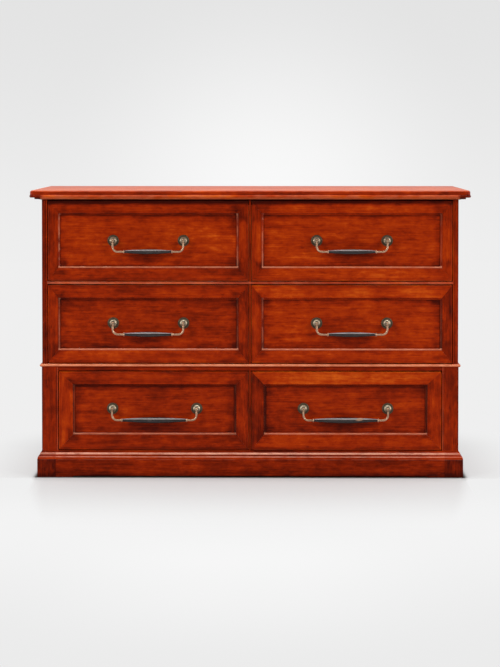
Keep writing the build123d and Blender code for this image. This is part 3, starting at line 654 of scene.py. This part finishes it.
innerWood = {
    "back_boards": {"along": "z", "tone": 0.40, "start": (0.0, 0.8, 0.0)},
    "bottom_board": {"along": "x", "tone": 0.45, "start": (2.7, 2.7, 1.1)},
    "centre_partition": {"along": "z", "tone": 0.50, "start": (5.4, 4.6, 2.2)},
    "dustboards": {"along": "x", "tone": 0.48, "start": (8.1, 6.5, 3.3)},
    "drawer_guides": {"along": "y", "tone": 0.46, "start": (10.8, 8.4, 4.4)},
}
drawerWood = {
    "box": {"along": "y", "tone": 0.55},
    "bottom": {"along": "x", "tone": 0.62},
    "shift": {"start": (0.0, 2.8, 0.0), "step": (1.7, 1.3, 0.6)},
}
for name, look in innerWood.items():
    dressBoard(name, name + "_poplar", look, plainPoplar)
for number, name in enumerate(drawers):
    start = grainStart(drawerWood["shift"], number)
    for part in ("box", "bottom"):
        look = {**drawerWood[part], "start": start}
        dressBoard(name + "_drawer_" + part, name + "_" + part + "_poplar", look, plainPoplar)
print("wood: dressed the case and the drawer boxes")

metalSkin = {"scale": 2000, "relief": 0.05, "reliefDepth": 0.0001}


def metalFinish(name, colourOf, roughness, metallic=0.80, specular=0.5):
    material, place = newFinish(name)
    colour, roughnessChange = colourOf(place)
    skin = noise(place, [metalSkin["scale"]] * 3)
    relief = {"Height": skin, "Strength": metalSkin["relief"], "Distance": metalSkin["reliefDepth"]}
    shader = place.node("BsdfPrincipled", None, {
        "Base Color": colour,
        "Metallic": metallic,
        "Roughness": roughnessChange + roughness,
        "Specular IOR Level": specular,
        "Normal": place.node("Bump", None, relief),
    })
    place.node("OutputMaterial", None, {"Surface": shader})
    return material


bailBrass = {
    "dark": (0.210, 0.118, 0.070), "bright": (0.480, 0.295, 0.185),
    "roughness": 0.30, "roughnessSwing": 0.15, "patina": 110.0, "patinaNoise": (3, 0.5),
    "patinaFrom": (0.25, 0.52), "patinaDepth": 0.5,
}
backNail = {
    "dark": (0.060, 0.050, 0.045), "bright": (0.300, 0.280, 0.260),
    "roughness": 0.42, "roughnessSwing": -0.3, "patina": 240.0, "patinaNoise": (4, 0.65),
    "patinaFrom": (0.30, 0.62), "patinaDepth": 1.0,
}


# Clouds of patina, and how much of the metal is clean.
def patinaOf(place, metal):
    patina = noise(place, [metal["patina"]] * 3, *metal["patinaNoise"])
    clean = patina.rise(*metal["patinaFrom"]) * metal["patinaDepth"] + (1 - metal["patinaDepth"])
    return patina, clean


def patinaColour(metal):
    def colour(place):
        patina, clean = patinaOf(place, metal)
        return mixColour(clean, metal["dark"], metal["bright"]), (0.5 - patina) * metal["roughnessSwing"]
    return colour


postBrass = {
    "dark": (0.060, 0.042, 0.024), "bright": (0.640, 0.560, 0.400), "rim": (0.135, 0.105, 0.066),
    "roughness": 0.30, "roughnessSwing": 0.15, "patina": 110.0, "patinaNoise": (3, 0.5),
    "patinaFrom": (0.25, 0.50), "patinaDepth": 0.35,
    "dome": (0.0086, 0.0092),  # radii in metres from here on
    "socket": (0.0042, 0.0021), "socketGrime": 0.85,  # the dark ring round the ball
    "rings": (0.0092, 0.0128), "ringHalf": 0.0010,
    "grimeTone": 0.8, "grimeRoughness": 0.2,
    "lower": (-0.002, 0.006), "lowerFrom": 0.0025, "lowerTone": 0.55,  # painted shade below the ball
}


# Bright where hands rub it, dark with grime and painted shade in the rings around the ball and the dome,
# and painted shade below the ball.
def postColour(centreX, centreZ, half):
    def colour(place):
        x, y, z = axes(place)
        radius = radiusOf(abs(x - centreX) - half, z - centreZ)
        patina, clean = patinaOf(place, postBrass)
        shadeAndGrime = wornLine(radius, *postBrass["socket"]) * postBrass["socketGrime"]
        for ring in postBrass["rings"]:
            shadeAndGrime = shadeAndGrime.most(wornLine(radius, ring, postBrass["ringHalf"]))
        # painted shade below the ball
        lower = (centreZ - z).rise(*postBrass["lower"]) * (radius > postBrass["lowerFrom"])
        clean = clean * (1 - shadeAndGrime * postBrass["grimeTone"]) * (1 - lower * postBrass["lowerTone"])
        metal = mixColour(radius.fall(*postBrass["dome"]), postBrass["rim"], postBrass["bright"])
        roughness = (0.5 - patina) * postBrass["roughnessSwing"] + shadeAndGrime * postBrass["grimeRoughness"]
        return mixColour(clean, postBrass["dark"], metal), roughness
    return colour


blackGrip = {
    "dark": (0.010, 0.006, 0.006), "worn": (0.030, 0.021, 0.018), "wornFrom": (0.50, 0.74),
    "roughness": 0.20, "roughnessSwing": 0.06, "specular": 0.45,
    "rubScale": (60, 260, 260), "rubNoise": (3, 0.55),
    "handledSheen": (0.330, 0.290, 0.280),  # a pale line above the middle of each spindle, from wear and as a painted highlight
    "handledRise": 0.0037, "handledHalf": 0.0028, "handledRub": 0.8, "handledLeast": 0.35,
    "bare": (0.360, 0.190, 0.105),  # wood where the black is rubbed through
    "barePlace": (0.2490, 0.1338), "bareSize": (0.0095, 0.0036), "bareSlope": 0.35,
    "bareFade": (0.30, 1.25), "bareFrom": (0.30, 0.52), "bareRoughness": 0.2,
}


def gripColour(place):
    x, y, z = axes(place)
    rubbedAndSheen = noise(place, blackGrip["rubScale"], *blackGrip["rubNoise"])
    mixed = mixColour(rubbedAndSheen.rise(*blackGrip["wornFrom"]), blackGrip["dark"], blackGrip["worn"])
    # the pale line is a painted highlight as well as wear
    lines = []
    for row in rows:
        low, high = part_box(row + "_left_pull_grip")
        lines.append(abs(z - (low.z + high.z) / 2 - blackGrip["handledRise"]))
    handledSheen = rubbedAndSheen * blackGrip["handledRub"] + blackGrip["handledLeast"]
    handledSheen = nearest(lines).fall(0.0, blackGrip["handledHalf"]) * handledSheen
    mixed = mixColour(handledSheen, mixed, blackGrip["handledSheen"])
    across = (x - blackGrip["barePlace"][0]) / blackGrip["bareSize"][0]
    up = (z - blackGrip["barePlace"][1]) / blackGrip["bareSize"][1] - across * blackGrip["bareSlope"]
    patch = radiusOf(across, up).fall(*blackGrip["bareFade"]) * rubbedAndSheen.rise(*blackGrip["bareFrom"])
    mixed = mixColour(patch, mixed, blackGrip["bare"])
    return mixed, (rubbedAndSheen - 0.5) * blackGrip["roughnessSwing"] + patch * blackGrip["bareRoughness"]


bail = metalFinish("aged_brass_bails", patinaColour(bailBrass), bailBrass["roughness"])
grip = metalFinish("black_grips", gripColour, blackGrip["roughness"], 0.0, blackGrip["specular"])
for name in drawers:
    post = metalFinish(name + "_aged_brass", postColour(*pullPlace(name)), postBrass["roughness"])
    dress(name + "_pull_posts", post)
    dress(name + "_pull_bail", bail)
    dress(name + "_pull_grip", grip)
dress("back_nails", metalFinish("nail_steel", patinaColour(backNail), backNail["roughness"]))
print("metal: dressed the pulls and nails")

lamps = {  # width and height, place on the right, where it points, and power
    "overhead_softbox": {
        "size": (3.0, 0.55), "place": (0.0, -0.32, 2.4), "aim": (0, -0.35, 0), "power": 46.0,
    },
    "side_softbox": {
        "size": (1.4, 1.2), "place": (3.1, -3.4, 1.95), "aim": (0, -0.2, 0.33), "power": 84.0,
    },
    "strip_softbox": {
        "size": (0.4, 1.7), "place": (2.6, -0.25, 0.75), "aim": (0, -0.1, 0.33), "power": 17.0,
    },
}


def placeLamp(name, side):
    look = lamps[name]
    lamp = bpy.data.lights.new(name, "AREA")
    lamp.shape = "RECTANGLE"
    lamp.size, lamp.size_y = look["size"]
    lamp.energy = look["power"]
    holder = bpy.data.objects.new(name, lamp)
    x, y, z = look["place"]
    place = Vector((side * x, y, z))
    holder.location = place
    holder.rotation_euler = (Vector(look["aim"]) - place).to_track_quat("-Z", "Y").to_euler()
    bpy.context.scene.collection.objects.link(holder)
    holder.visible_camera = False


backdrop = {  # heights are those of a line of sight, from -1 to 1
    "level": 0.863, "ceiling": (-0.078, 0.073), "ceilingFall": 0.09,
    "glow": 0.11, "glowHeight": -0.0207, "glowRadius": 0.109,
    "mirrorFront": 0.20, "mirror": (-0.5, 0.3),  # what polished pieces mirror is darker in front
    "ambientFront": 0.12, "ambientBack": 0.60, "ambient": (-0.3, 0.5),
}
floorPaper = {
    "size": 16, "albedo": 0.565, "underPlinth": (0.055, 0.045, 0.040), "underFade": (-0.002, 0.022),
    "whiteFade": (0.03, 0.62),  # the paper's own shade gives way to the emitted white
    "beside": (0.0, 0.013), "besideStep": 0.36, "besideScale": 1.2,
    "outside": (0.462, 0.512), "outsideSpread": 0.12, "outsideFront": (0.0, 0.06), "outsideStep": 0.5,
    "glow": 0.040, "glowFrom": (0.75, 1.20), "glowTo": (1.45, 2.05), "glowSides": (0.05, 0.45),
    "near": (0.25, 0.75), "nearRise": 0.035, "far": (0.85, 1.90), "farFall": 0.068,
}


# Paper that takes the shade near the plinth, and an emitted white further away, brightened ahead of the
# chest as a painted pool of light and dimmed far ahead.
def layFloor():
    bpy.ops.mesh.primitive_plane_add(size=floorPaper["size"], location=(0, 0, 0))
    floor = bpy.context.object
    floor.name = "studio_floor"
    material, place = newFinish("studio_floor_paper")
    floor.data.materials.append(material)
    x, y, z = axes(place)
    plinthLow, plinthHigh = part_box("plinth_boards")
    before = (plinthLow.y - y).most(0)
    reach = before + (y + plinthLow.y).most(0)  # starts as far behind the middle as in front of it
    beside = (abs(x) - plinthHigh.x).most(0)
    under = (beside + reach).fall(*floorPaper["underFade"])  # painted contact shadow: almost no light comes under the plinth
    tint = mixColour(under, [floorPaper["albedo"]] * 3, floorPaper["underPlinth"])
    paper = place.node("BsdfDiffuse", None, {"Color": tint})

    outside = (abs(x) + before * floorPaper["outsideSpread"]).rise(*floorPaper["outside"])
    outside = outside * before.rise(*floorPaper["outsideFront"]) * floorPaper["outsideStep"]
    step = beside.rise(*floorPaper["beside"]) * floorPaper["besideStep"]
    away = radiusOf(step + beside * floorPaper["besideScale"] + outside, reach)
    ahead = 0 - y
    glow = ahead.rise(*floorPaper["glowFrom"]) * ahead.fall(*floorPaper["glowTo"])
    glow = glow * abs(x).fall(*floorPaper["glowSides"]) * floorPaper["glow"]
    bright = glow + ahead.rise(*floorPaper["near"]) * floorPaper["nearRise"]
    bright = bright - ahead.rise(*floorPaper["far"]) * floorPaper["farFall"] + backdrop["level"]
    white = place.node("Emission", None, {"Color": (1, 1, 1, 1), "Strength": bright})
    whiteShare = away.rise(*floorPaper["whiteFade"])
    shader = place.node("MixShader", None, {0: whiteShare, 1: paper, 2: white})
    place.node("OutputMaterial", None, {"Surface": shader})


# The camera, mirroring surfaces and all other light see three different backdrops.
def hangBackdrop():
    world = bpy.data.worlds.new("studio_backdrop")
    bpy.context.scene.world = world
    world.use_nodes = True
    world.node_tree.nodes.clear()
    sky = Wire(world.node_tree).node("TexCoord", None, None, "Generated")
    across, depth, height = axes(sky)
    path = sky.node("LightPath", None, None, "Is Camera Ray")
    seen = path.most(path.also("Is Transmission Ray"))
    glossy = path.also("Is Glossy Ray")
    mirrored = depth.rise(*backdrop["mirror"]) * (backdrop["level"] - backdrop["mirrorFront"])
    mirrored = mirrored + backdrop["mirrorFront"]
    ambient = depth.rise(*backdrop["ambient"]) * (backdrop["ambientBack"] - backdrop["ambientFront"])
    ambient = ambient + backdrop["ambientFront"]
    glow = radiusOf(across, height - backdrop["glowHeight"]).fall(0.0, backdrop["glowRadius"])
    glow = glow * (depth > 0) * backdrop["glow"]
    wall = backdrop["level"] - height.rise(*backdrop["ceiling"]) * backdrop["ceilingFall"] + glow
    strength = seen * wall + glossy * mirrored + (1 - seen - glossy) * ambient
    shader = sky.node("Background", None, {"Color": (1, 1, 1, 1), "Strength": strength})
    sky.node("OutputWorld", None, {"Surface": shader})


frontCamera = {
    "lens": 113.84, "sensor": 36, "shift": -0.1969, "place": (0.0444, -4.981, 0.7766),
    "tilt": 1.8, "turn": 0.532,  # degrees
}


def placeCamera():
    lens = bpy.data.cameras.new("front_camera")
    lens.lens = frontCamera["lens"]
    lens.sensor_width = frontCamera["sensor"]
    lens.sensor_fit = "AUTO"
    lens.shift_y = frontCamera["shift"]
    camera = bpy.data.objects.new("front_camera", lens)
    camera.location = frontCamera["place"]
    camera.rotation_euler = (math.radians(90 - frontCamera["tilt"]), 0, math.radians(frontCamera["turn"]))
    bpy.context.scene.collection.objects.link(camera)
    bpy.context.scene.camera = camera


placeLamp("overhead_softbox", 1)
for side in (-1, 1):
    placeLamp("side_softbox", side)
    placeLamp("strip_softbox", side)
layFloor()
hangBackdrop()
placeCamera()
bpy.context.scene.view_settings.view_transform = "Standard"
print("studio: floor, lamps, world and camera")
